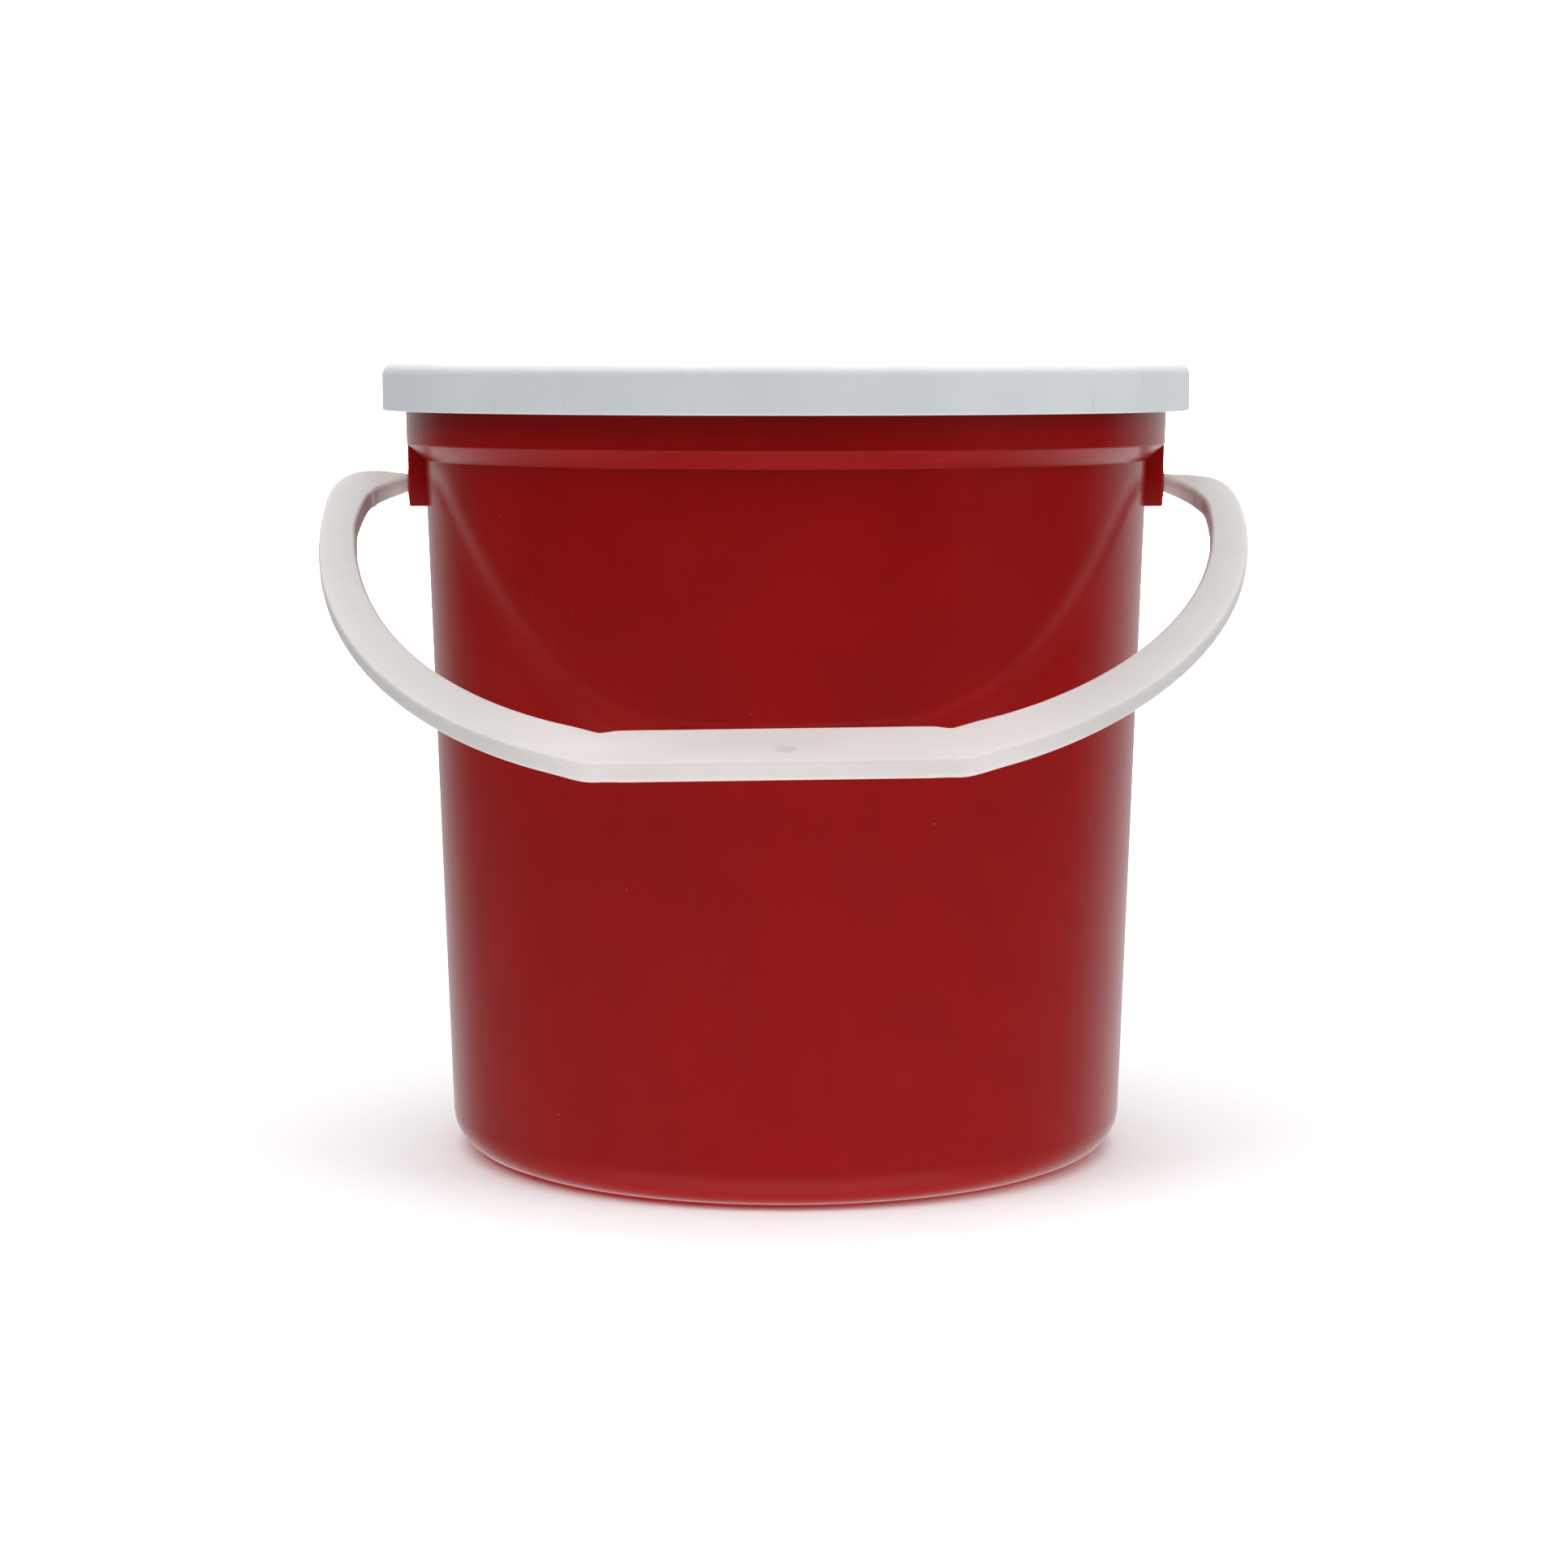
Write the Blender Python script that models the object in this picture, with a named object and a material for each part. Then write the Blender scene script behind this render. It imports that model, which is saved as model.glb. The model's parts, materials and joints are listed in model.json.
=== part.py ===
"""Sand bucket: a moulded pail, its push-on lid and its swinging bail handle.

Frame: origin at the centre of the base's underside, +X along the handle's pivot
axis, -Y towards the side where the handle hangs, +Z up. All lengths in metres.
"""
import math

import bmesh
import bpy
from mathutils import Matrix, Vector

# Plastics
RED = (0.300, 0.008, 0.008)
RED_ROUGHNESS = 0.28
WHITE = (0.640, 0.670, 0.680)
WHITE_ROUGHNESS = 0.42
NATURAL = (0.720, 0.690, 0.670)
NATURAL_ROUGHNESS = 0.38

# Round pieces
SEGMENTS = 64
ARC_STEPS = 4
MERGE = 1e-6
SHARP_ANGLE = math.radians(32)
GAP = 0.0003

# Bucket wall, outside
BASE_R = 0.0906
BASE_CORNER = 0.0104
WALL_TOP_R = 0.0969
WALL_TOP_Z = 0.1862
COLLAR_LOW_R = 0.1017
COLLAR_LOW_Z = 0.1905
COLLAR_R = 0.1021
RIM_Z = 0.2099

# Bucket wall, inside
WALL = 0.0015
COLLAR_WALL = 0.0016
FLOOR = 0.0020
INNER_CORNER = 0.0088
SHOULDER_RISE = 0.0007

# Foot ring under the base
FOOT_RECESS = 0.0012
FOOT_RECESS_R = 0.0700
FOOT_SLOPE = 0.0006

# Rolled rim at the mouth
LIP_R = 0.1054
LIP_WALL = 0.0015
LIP_LOW_Z = 0.2036
RIM_ROUND = 0.0010
MOUTH_ROUND = 0.0006

# Lid
LID_R = 0.1080
LID_TOP_Z = 0.2118
LID_LOW_Z = 0.1993
LID_WALL = 0.0016
LID_SHOULDER = 0.0032
LID_LOW_ROUND = 0.0006
RECESS_R = 0.0980
RECESS_DEPTH = 0.0048
RECESS_DRAFT = 0.0003
BEAD_Z = 0.2022
BEAD_HALF = 0.0010

# Lugs that carry the handle
PIVOT_Z = 0.1799
LUG_OUT_X = 0.1013
LUG_LOW_OUT_X = 0.1010
LUG_ROOT_X = 0.0956
LUG_HALF_Y = 0.0080
LUG_LOW_Z = 0.1736
LUG_TOP_IN_Z = 0.1866
LUG_TOP_OUT_Z = 0.1910
LUG_BEVEL = 0.0007
BOSS_R = 0.0046
BOSS_RISE = 0.0004
BOSS_SIDES = 32
POCKET_IN_X = 0.0972
POCKET_OUT_X = 0.0995
POCKET_HALF_Y = 0.0062
POCKET_TOP_Z = 0.1856
HOLE_R = 0.0026
HOLE_SIDES = 24
CUT_OVER = 0.0020

# Handle
REST_DROP = math.radians(31.8)
PIN_R = 0.0023
HEAD_R = 0.0032
HEAD_IN_X = 0.0976
HEAD_OUT_X = 0.0989
HEAD_CHAMFER = 0.0004
PIN_OUT_X = 0.1020
ARM_CENTRE = (0.0154, 0.0216)
ARM_RADIUS = 0.1023
ARM_HALF_WIDE = 0.00475
ARM_HALF_THICK = 0.0027
ARM_END_HALF_WIDE = 0.0069
ARM_STEPS = 13
GRIP_DROP = 0.1198
GRIP_HALF_WIDE = 0.0071
GRIP_HALF_THICK = 0.00325
GRIP_HALF_LENGTH = 0.0378
GRIP_DIP_X = 0.0430
GRIP_DIP_DROP = 0.1201
GRIP_DIP_HALF_WIDE = 0.0066
EAR_STEPS = 3
# The bend between pin and arm: x, drop, half width, half thickness, squareness
EAR_KNOTS = (
    (0.1052, 0.0010, 0.0032, 0.0025, 2.6),
    (0.1094, 0.0024, 0.0045, 0.0026, 3.6),
    (0.1138, 0.0050, 0.0055, 0.0027, 5.0),
    (0.1167, 0.0106, 0.0051, 0.0027, 7.0),
)
EAR_LEAD = 0.0030
ARM_LEAD = 0.0330
# The bail's set: one ear sags and is slimmer, the other lifts, and the grip hangs aslant to -X
EAR_SAG = 0.0015
EAR_SLIMMING = 50.0
ARM_SHIFT = 0.0006
LEAN_SHIFT = 0.0018
LEAN_SLOPE = 0.0227
SECTION_POINTS = 16
ROUND_POWER = 2.0
SQUARE_POWER = 8.0
WALL_SIDE_POWER = 4.6


def clear_scene():
    """Start from nothing."""
    for item in list(bpy.data.objects):
        bpy.data.objects.remove(item, do_unlink=True)


def plastic(name, colour, roughness):
    """A moulded plastic."""
    material = bpy.data.materials.new(name)
    material.use_nodes = True
    shader = material.node_tree.nodes["Principled BSDF"]
    shader.inputs["Base Color"].default_value = (*colour, 1.0)
    shader.inputs["Roughness"].default_value = roughness
    shader.inputs["Metallic"].default_value = 0.0
    return material


def rounded(corners):
    """A profile's points, each corner (radius, height, rounding) turned into an arc."""
    points = []
    for index, (r, z, rounding) in enumerate(corners):
        corner = Vector((r, z))
        if rounding == 0.0:
            points.append(corner)
            continue
        back = (Vector(corners[index - 1][:2]) - corner).normalized()
        ahead = (Vector(corners[index + 1][:2]) - corner).normalized()
        half = back.angle(ahead) / 2
        centre = corner + (back + ahead).normalized() * rounding / math.sin(half)
        start = corner + back * rounding / math.tan(half) - centre
        end = corner + ahead * rounding / math.tan(half) - centre
        sweep = start.angle_signed(end)
        for step in range(ARC_STEPS + 1):
            turn = -sweep * step / ARC_STEPS
            points.append(centre + Vector((
                start.x * math.cos(turn) - start.y * math.sin(turn),
                start.x * math.sin(turn) + start.y * math.cos(turn),
            )))
    return points


def revolve(points):
    """Turn a profile of (radius, height) points, ending on the axis, once round +Z."""
    mesh = bmesh.new()
    verts = [mesh.verts.new((point.x, 0.0, point.y)) for point in points]
    edges = [mesh.edges.new(pair) for pair in zip(verts, verts[1:])]
    bmesh.ops.spin(
        mesh,
        geom=verts + edges,
        cent=(0.0, 0.0, 0.0),
        axis=(0.0, 0.0, 1.0),
        angle=math.tau,
        steps=SEGMENTS,
        use_merge=True,
    )
    bmesh.ops.remove_doubles(mesh, verts=mesh.verts, dist=MERGE)
    bmesh.ops.recalc_face_normals(mesh, faces=mesh.faces)
    return mesh


def finish(name, mesh, material):
    """Make a smooth-shaded object from a bmesh."""
    data = bpy.data.meshes.new(name)
    mesh.to_mesh(data)
    mesh.free()
    data.materials.append(material)
    data.shade_smooth()
    data.set_sharp_from_angle(angle=SHARP_ANGLE)
    item = bpy.data.objects.new(name, data)
    bpy.context.collection.objects.link(item)
    return item


def wall_radius(z):
    """Outer radius of the tapered wall at a height."""
    return BASE_R + (WALL_TOP_R - BASE_R) * z / WALL_TOP_Z


def bucket_profile():
    """Outside from the base's centre to the rim, then back down the inside."""
    floor_z = FOOT_RECESS + FLOOR
    shoulder_z = WALL_TOP_Z + SHOULDER_RISE
    collar_in_z = COLLAR_LOW_Z + SHOULDER_RISE
    return rounded([
        (0.0, FOOT_RECESS, 0.0),
        (FOOT_RECESS_R, FOOT_RECESS, 0.0),
        (FOOT_RECESS_R + FOOT_SLOPE, 0.0, 0.0),
        (BASE_R, 0.0, BASE_CORNER),
        (WALL_TOP_R, WALL_TOP_Z, 0.0),
        (COLLAR_LOW_R, COLLAR_LOW_Z, 0.0),
        (COLLAR_R, RIM_Z - LIP_WALL, 0.0),
        (LIP_R - LIP_WALL, RIM_Z - LIP_WALL, 0.0),
        (LIP_R - LIP_WALL, LIP_LOW_Z, 0.0),
        (LIP_R, LIP_LOW_Z, 0.0),
        (LIP_R, RIM_Z, RIM_ROUND),
        (COLLAR_R - COLLAR_WALL, RIM_Z, MOUTH_ROUND),
        (COLLAR_LOW_R - COLLAR_WALL, collar_in_z, 0.0),
        (WALL_TOP_R - WALL, shoulder_z, 0.0),
        (wall_radius(floor_z) - WALL, floor_z, INNER_CORNER),
        (0.0, floor_z, 0.0),
    ])


def lid_profile():
    """Top face from the axis outwards, down the skirt, then back under it."""
    recess_z = LID_TOP_Z - RECESS_DEPTH
    inner_r = LID_R - LID_WALL
    bead_r = LIP_R + GAP
    return rounded([
        (0.0, recess_z, 0.0),
        (RECESS_R - RECESS_DRAFT, recess_z, MOUTH_ROUND),
        (RECESS_R, LID_TOP_Z, MOUTH_ROUND),
        (LID_R, LID_TOP_Z, LID_SHOULDER),
        (LID_R, LID_LOW_Z, LID_LOW_ROUND),
        (inner_r, LID_LOW_Z, 0.0),
        (inner_r, BEAD_Z - BEAD_HALF, 0.0),
        (bead_r, BEAD_Z, 0.0),
        (inner_r, BEAD_Z + BEAD_HALF, 0.0),
        (inner_r, LID_TOP_Z - LID_WALL, MOUTH_ROUND),
        (RECESS_R + LID_WALL, LID_TOP_Z - LID_WALL, 0.0),
        (RECESS_R + LID_WALL, recess_z - LID_WALL, RIM_ROUND),
        (0.0, recess_z - LID_WALL, 0.0),
    ])


def extruded(outline, half_y):
    """A prism from an X-Z outline, centred on Y = 0."""
    mesh = bmesh.new()
    face = mesh.faces.new([mesh.verts.new((x, -half_y, z)) for x, z in outline])
    lifted = bmesh.ops.extrude_face_region(mesh, geom=[face])["geom"]
    moved = [item for item in lifted if isinstance(item, bmesh.types.BMVert)]
    bmesh.ops.translate(mesh, verts=moved, vec=(0.0, 2 * half_y, 0.0))
    bmesh.ops.recalc_face_normals(mesh, faces=mesh.faces)
    return mesh


def cross_rod(radius, sides, start_x, end_x):
    """A rod along X at the pivot's height."""
    mesh = bmesh.new()
    ring = []
    for step in range(sides):
        angle = math.tau * step / sides
        ring.append(mesh.verts.new((
            start_x, radius * math.cos(angle), PIVOT_Z + radius * math.sin(angle),
        )))
    face = mesh.faces.new(ring)
    lifted = bmesh.ops.extrude_face_region(mesh, geom=[face])["geom"]
    moved = [item for item in lifted if isinstance(item, bmesh.types.BMVert)]
    bmesh.ops.translate(mesh, verts=moved, vec=(end_x - start_x, 0.0, 0.0))
    bmesh.ops.recalc_face_normals(mesh, faces=mesh.faces)
    return mesh


def lug_block():
    """The lug's solid outline, rooted in the wall and under the shoulder."""
    mesh = extruded([
        (LUG_ROOT_X, LUG_LOW_Z),
        (LUG_LOW_OUT_X, LUG_LOW_Z),
        (LUG_OUT_X, LUG_TOP_OUT_Z),
        (LUG_ROOT_X, LUG_TOP_IN_Z),
    ], LUG_HALF_Y)
    outer = [
        edge for edge in mesh.edges
        if max(abs(vert.co.x - LUG_ROOT_X) for vert in edge.verts) > LUG_BEVEL
        and min(vert.co.z for vert in edge.verts) < LUG_TOP_IN_Z
        and min(vert.co.x for vert in edge.verts) > LUG_ROOT_X + LUG_BEVEL
    ]
    bmesh.ops.bevel(
        mesh, geom=outer, offset=LUG_BEVEL, segments=2, profile=0.5, affect="EDGES",
    )
    return mesh


def boolean(item, name, mesh, operation):
    """Join or cut with a tool that stays out of sight."""
    data = bpy.data.meshes.new(name)
    mesh.to_mesh(data)
    mesh.free()
    tool = bpy.data.objects.new(name, data)
    bpy.context.collection.objects.link(tool)
    tool.display_type = "WIRE"
    tool.hide_render = True
    step = item.modifiers.new(name, "BOOLEAN")
    step.operation = operation
    step.object = tool


def both_sides(mesh):
    """Repeat a lug feature on the other side of the bucket."""
    copied = bmesh.ops.duplicate(mesh, geom=mesh.verts[:] + mesh.edges[:] + mesh.faces[:])
    verts = [item for item in copied["geom"] if isinstance(item, bmesh.types.BMVert)]
    bmesh.ops.rotate(
        mesh,
        verts=verts,
        cent=(0.0, 0.0, 0.0),
        matrix=Matrix.Rotation(math.pi, 3, "Z"),
    )
    return mesh


def build_bucket(material):
    """The pail, one moulding with its lugs."""
    bucket = finish("bucket_body", revolve(bucket_profile()), material)
    pocket = extruded([
        (POCKET_IN_X, LUG_LOW_Z - CUT_OVER),
        (POCKET_OUT_X, LUG_LOW_Z - CUT_OVER),
        (POCKET_OUT_X, POCKET_TOP_Z),
        (POCKET_IN_X, POCKET_TOP_Z),
    ], POCKET_HALF_Y)
    boss = cross_rod(BOSS_R, BOSS_SIDES, POCKET_OUT_X + BOSS_RISE, LUG_OUT_X + BOSS_RISE)
    hole = cross_rod(HOLE_R, HOLE_SIDES, POCKET_OUT_X - BOSS_RISE, LUG_OUT_X + CUT_OVER)
    boolean(bucket, "lugs", both_sides(lug_block()), "UNION")
    boolean(bucket, "bosses", both_sides(boss), "UNION")
    boolean(bucket, "pockets", both_sides(pocket), "DIFFERENCE")
    boolean(bucket, "pin_holes", both_sides(hole), "DIFFERENCE")


def station(x, drop, half_wide, half_thick, power):
    """One cross-section of the handle: centre, half sizes and squareness."""
    return {
        "centre": Vector((x, drop)),
        "wide": half_wide,
        "thick": half_thick,
        "power": power,
    }


def blend(start, end, share):
    """Straight mix of two numbers."""
    return start + (end - start) * share


def pin_stations():
    """Retaining head and pin, from the inner end outwards."""
    return [
        station(HEAD_IN_X, 0.0, HEAD_R - HEAD_CHAMFER, HEAD_R - HEAD_CHAMFER, ROUND_POWER),
        station(HEAD_IN_X + HEAD_CHAMFER, 0.0, HEAD_R, HEAD_R, ROUND_POWER),
        station(HEAD_OUT_X - HEAD_CHAMFER, 0.0, HEAD_R, HEAD_R, ROUND_POWER),
        station(HEAD_OUT_X, 0.0, PIN_R, PIN_R, ROUND_POWER),
        station(PIN_OUT_X, 0.0, PIN_R, PIN_R, ROUND_POWER),
    ]


def arm_stations():
    """The bowed arm, one arc that widens towards the grip."""
    end_angle = math.asin((GRIP_DROP - ARM_CENTRE[1]) / ARM_RADIUS)
    stations = []
    for step in range(ARM_STEPS + 1):
        share = step / ARM_STEPS
        angle = end_angle * share
        stations.append(station(
            ARM_CENTRE[0] + ARM_RADIUS * math.cos(angle),
            ARM_CENTRE[1] + ARM_RADIUS * math.sin(angle),
            blend(ARM_HALF_WIDE, ARM_END_HALF_WIDE, share),
            blend(ARM_HALF_THICK, GRIP_HALF_THICK, share),
            SQUARE_POWER,
        ))
    return stations


def ear_stations(pin_end, arm_start, sag):
    """The bend between the pin and the arm, on a smooth curve through its knots."""
    reach = arm_start["centre"].x - PIN_OUT_X
    knots = [
        station(PIN_OUT_X - EAR_LEAD, 0.0, PIN_R, PIN_R, ROUND_POWER),
        pin_end,
        *(
            station(x, drop + sag * (x - PIN_OUT_X) / reach,
                    half_wide * (1 - EAR_SLIMMING * sag), *section)
            for x, drop, half_wide, *section in EAR_KNOTS
        ),
        arm_start,
        station(arm_start["centre"].x, ARM_LEAD, ARM_HALF_WIDE, ARM_HALF_THICK, SQUARE_POWER),
    ]
    stations = []
    for index in range(1, len(knots) - 2):
        near = knots[index - 1:index + 3]
        for step in range(EAR_STEPS):
            share = step / EAR_STEPS
            weights = (
                (-share + 2 * share ** 2 - share ** 3) / 2,
                (2 - 5 * share ** 2 + 3 * share ** 3) / 2,
                (share + 4 * share ** 2 - 3 * share ** 3) / 2,
                (share ** 3 - share ** 2) / 2,
            )
            centre = Vector((0.0, 0.0))
            for weight, knot in zip(weights, near):
                centre += weight * knot["centre"]
            stations.append(station(
                centre.x,
                centre.y,
                blend(near[1]["wide"], near[2]["wide"], share),
                blend(near[1]["thick"], near[2]["thick"], share),
                blend(near[1]["power"], near[2]["power"], share),
            ))
    return stations[1:]


def grip_stations():
    """Half of the straight grip, from the dip beside it to the middle."""
    dip = station(GRIP_DIP_X, GRIP_DIP_DROP, GRIP_DIP_HALF_WIDE, GRIP_HALF_THICK, SQUARE_POWER)
    places = (GRIP_HALF_LENGTH, GRIP_HALF_LENGTH / 2, 0.0)
    return [dip] + [
        station(x, GRIP_DROP, GRIP_HALF_WIDE, GRIP_HALF_THICK, SQUARE_POWER)
        for x in places
    ]


def half_stations(sag):
    """One side of the handle, from its retaining head to the middle of the grip."""
    pins = pin_stations()
    arms = arm_stations()
    return pins + ear_stations(pins[-1], arms[0], sag) + arms[:-1] + grip_stations()


def mirrored(item):
    """The same section on the other side."""
    return {**item, "centre": Vector((-item["centre"].x, item["centre"].y))}


def leaning(item):
    """A section moved by the bail's set, which grows from the pins to the grip."""
    x, drop = item["centre"]
    loose = min(drop / ARM_CENTRE[1], 1.0)
    share = (drop - ARM_CENTRE[1]) / (GRIP_DROP - ARM_CENTRE[1])
    share = min(max(share, 0.0), 1.0)
    share = share ** 2 * (3 - 2 * share)
    shift = ARM_SHIFT * loose + LEAN_SHIFT * share
    moved = Vector((x - shift, drop - LEAN_SLOPE * share * x))
    return {**item, "centre": moved}


def section_ring(mesh, stations, index):
    """The section's ring of points, square to the path, rounder towards the wall."""
    here = stations[index]
    before = stations[max(index - 1, 0)]["centre"]
    after = stations[min(index + 1, len(stations) - 1)]["centre"]
    along = (after - before).normalized()
    across = Vector((-along.y, along.x))
    ring = []
    for step in range(SECTION_POINTS):
        angle = math.tau * (step + 0.5) / SECTION_POINTS
        cos, sin = math.cos(angle), math.sin(angle)
        power = here["power"]
        if cos > 0.0 and sin > 0.0:
            power = min(power, WALL_SIDE_POWER)
        wide = math.copysign(abs(cos) ** (2 / power), cos) * here["wide"]
        thick = math.copysign(abs(sin) ** (2 / power), sin) * here["thick"]
        place = here["centre"] + across * wide
        ring.append(mesh.verts.new((place.x, thick, -place.y)))
    return ring


def build_handle(material):
    """The bail, one moulding, drawn hanging straight down and swung to rest."""
    right = half_stations(EAR_SAG)
    left = [mirrored(item) for item in half_stations(-EAR_SAG)[:-1]]
    stations = [leaning(item) for item in right + left[::-1]]
    mesh = bmesh.new()
    rings = [section_ring(mesh, stations, index) for index in range(len(stations))]
    for ring, following in zip(rings, rings[1:]):
        for index in range(SECTION_POINTS):
            after = (index + 1) % SECTION_POINTS
            mesh.faces.new((ring[index], ring[after], following[after], following[index]))
    mesh.faces.new(rings[0])
    mesh.faces.new(rings[-1])
    bmesh.ops.recalc_face_normals(mesh, faces=mesh.faces)
    handle = finish("handle", mesh, material)
    handle.location = (0.0, 0.0, PIVOT_Z)
    handle.rotation_euler = (REST_DROP - math.pi / 2, 0.0, 0.0)
    return handle


def main():
    """Build the three mouldings."""
    clear_scene()
    red = plastic("red_polypropylene", RED, RED_ROUGHNESS)
    white = plastic("white_polyethylene", WHITE, WHITE_ROUGHNESS)
    natural = plastic("natural_polypropylene", NATURAL, NATURAL_ROUGHNESS)
    build_bucket(red)
    finish("lid", revolve(lid_profile()), white)
    build_handle(natural)


main()
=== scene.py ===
"""Looks of the sand bucket: smooth mouldings, moulded-plastic materials, soft studio light."""
import json
import math

import bpy
from mathutils import Matrix, Vector


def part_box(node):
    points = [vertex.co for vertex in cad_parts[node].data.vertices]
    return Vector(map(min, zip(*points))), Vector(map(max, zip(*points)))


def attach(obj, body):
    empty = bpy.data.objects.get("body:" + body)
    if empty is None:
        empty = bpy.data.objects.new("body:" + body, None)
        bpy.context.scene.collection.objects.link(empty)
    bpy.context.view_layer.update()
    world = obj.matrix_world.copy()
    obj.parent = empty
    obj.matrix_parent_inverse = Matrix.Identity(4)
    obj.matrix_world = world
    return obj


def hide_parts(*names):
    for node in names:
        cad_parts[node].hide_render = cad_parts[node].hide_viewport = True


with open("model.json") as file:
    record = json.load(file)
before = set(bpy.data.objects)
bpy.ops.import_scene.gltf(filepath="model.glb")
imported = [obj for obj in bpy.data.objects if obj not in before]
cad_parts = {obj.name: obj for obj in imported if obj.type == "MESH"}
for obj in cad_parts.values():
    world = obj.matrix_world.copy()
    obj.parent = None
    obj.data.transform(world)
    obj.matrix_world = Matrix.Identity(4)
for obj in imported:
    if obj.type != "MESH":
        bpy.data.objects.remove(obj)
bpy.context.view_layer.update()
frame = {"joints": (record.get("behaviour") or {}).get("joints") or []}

MM = 0.001

# From the frame
HINGE = next(joint for joint in frame["joints"] if joint["type"] == "hinge")
PIVOT_Z = HINGE["pos_m"][2]
LID_LOW, LID_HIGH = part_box("lid")
_, BODY_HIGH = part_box("bucket_body")
LID_R = LID_HIGH.x
LID_TOP = LID_HIGH.z
RIM_TOP = BODY_HIGH.z
LIP_R = BODY_HIGH.x

# The bail hangs this far below level; its plane's directions at rest
REST_DROP = math.radians(31.8)
ACROSS = Vector((1, 0, 0))
DOWN = Vector((0, -math.cos(REST_DROP), -math.sin(REST_DROP)))
UP = Vector((0, -math.sin(REST_DROP), math.cos(REST_DROP)))
PIVOT = Vector((0, 0, PIVOT_Z))

# Fineness of the meshes
ROUND_SEGMENTS = 256
ROD_SIDES = 64
ARC_STEPS = 6
ARM_STEPS = 16
CURVE_STEPS = 8

# The wall's mean radius, which turns angles into distances round the pail
SKIN_R = 0.095

# Colours: each plastic's is mottled between a deep and a pale one
RED_DEEP = (0.250, 0.0009, 0.0009)
RED_PALE = (0.270, 0.0013, 0.0012)
RED_SCRATCH = (0.50, 0.10, 0.08)
RED_RUB = (0.42, 0.06, 0.05)
RED_SPECK = (0.50, 0.28, 0.24)
WHITE_DEEP = (0.615, 0.650, 0.678)
WHITE_PALE = (0.645, 0.678, 0.702)
WHITE_SCRATCH = (0.44, 0.45, 0.45)
WHITE_SPECK = (0.36, 0.33, 0.30)
MILKY_DEEP = (0.635, 0.602, 0.598)
MILKY_PALE = (0.680, 0.652, 0.645)
# Painted shade: the arms' colour is greyed to tone down the light that falls on them
MILKY_ARM_PAINTED_SHADE = (0.542, 0.532, 0.522)
# Painted light: the pin stubs, shaded by the lid and collar, are lightened in colour
MILKY_STUB_PAINTED_LIGHT = (0.820, 0.790, 0.770)
MILKY_GATE = (0.50, 0.43, 0.43)
MILKY_SCUFF = (0.80, 0.79, 0.78)
FLOOR_DEEP = (0.86, 0.86, 0.86)
FLOOR_PALE = (0.88, 0.88, 0.88)

# Bucket, in mm
INJECTION_R = 1.8
INJECTION_EDGE_R = 2.1
INJECTION_Z = 0.7
FOOT_RECESS = 1.2
FOOT_SLOPE_R = 69.9
FOOT_R = 70.7
BASE_R = 90.6
BASE_CORNER = 10.4
WALL_TOP_R = 96.9
WALL_TOP_Z = 186.2
COLLAR_LOW_R = 101.7
COLLAR_LOW_Z = 190.5
COLLAR_R = 102.1
LIP_WALL = 1.5
LIP_LOW_Z = 203.6
MOUTH_R = 100.5
INNER_COLLAR_R = 100.1
INNER_COLLAR_Z = 191.2
INNER_TOP_R = 95.4
INNER_TOP_Z = 186.9
INNER_BASE_R = 89.2
INNER_CORNER = 8.8
FLOOR_Z = 3.2
PAD_R = 33.4
PAD_SLOPE = 0.6
PAD_Z = 2.9

# Lugs, in mm
LUG_INNER_X = 95.6
LUG_OUTER_X = 101.0
LUG_TOP_X = 101.3
LUG_TOP_Z = 191.0
LUG_INNER_TOP_Z = 186.6
LUG_LOW_Z = 173.6
LUG_HALF_WIDE = 8.0
LUG_ROUNDING = 0.7
EDGE_ROUNDING = 0.15
POCKET_INNER_X = 97.2
POCKET_OUTER_X = 99.5
POCKET_LOW_Z = 172
POCKET_TOP_Z = 185.6
POCKET_HALF_WIDE = 6.2
BOSS_R = 4.6
BOSS_INNER_X = 99.7
BOSS_OUTER_X = 101.7
BOSS_BEVEL = 0.25
HOLE_R = 2.6
HOLE_INNER_X = 99.1
HOLE_OUTER_X = 103.3

# Lid, in mm
LID_RECESS = 4.8
LID_WALL = 1.6
LID_CORNER = 3.2
LID_STEP = 0.3
LID_GATE_R = 1.7
LID_STEP_R = 30.0
LID_STEP_SLOPE = 0.6
LID_BAND_R = 86.0
LID_BAND_SLOPE = 0.8
CHANNEL_R = 97.7
RIDGE_R = 98.0
BEAD_R = 105.7
BEAD_Z = 202.2
BEAD_HALF = 1.0
LID_INNER_R = 99.6
LID_UNDER_R = 99.4

# Bail, in mm, in its own plane: distance across, and drop from the pins
ARM_CENTRE = (15.4, 21.6)
ARM_RADIUS = 102.3
ARM_HALF_WIDE = 4.75
ARM_WIDENING = 2.15
ARM_HALF_THICK = 2.7
ARM_THICKENING = 0.55
ARM_EDGE = 1.1
ARM_SHARPENING = 0.2
GRIP_DROP = 119.8
GRIP_HALF_WIDE = 7.1
GRIP_HALF_THICK = 3.25
GRIP_EDGE = 0.9
WALL_EDGE = 2.1
UNDER_EDGE = 0.7
PIN_R = 2.3
PIN_NECK = 100.6
PIN_END = 102.0
HEAD_R = 3.2
HEAD_CHAMFER_R = 2.8
GATE_DROP = 121.6
# The bend between pin and arm: across, drop, half width, half thickness, edge, wall edge
EAR_KNOTS = (
    (105.2, 1.0, 3.2, 2.5, 2.3, 2.4),
    (109.4, 2.4, 4.5, 2.6, 1.9, 2.4),
    (113.8, 5.0, 5.5, 2.7, 1.4, 2.3),
    (116.7, 10.6, 5.1, 2.7, 1.2, 2.2),
)
# The dip where an arm meets the grip: across, drop, half width
DIP_KNOTS = (
    (45.8, 119.8, 6.75),
    (42.6, 120.1, 6.6),
    (40.0, 119.95, 6.85),
)
GRIP_KNOTS = (37.2, 25.0, 12.5, 0, -12.5)
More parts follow.
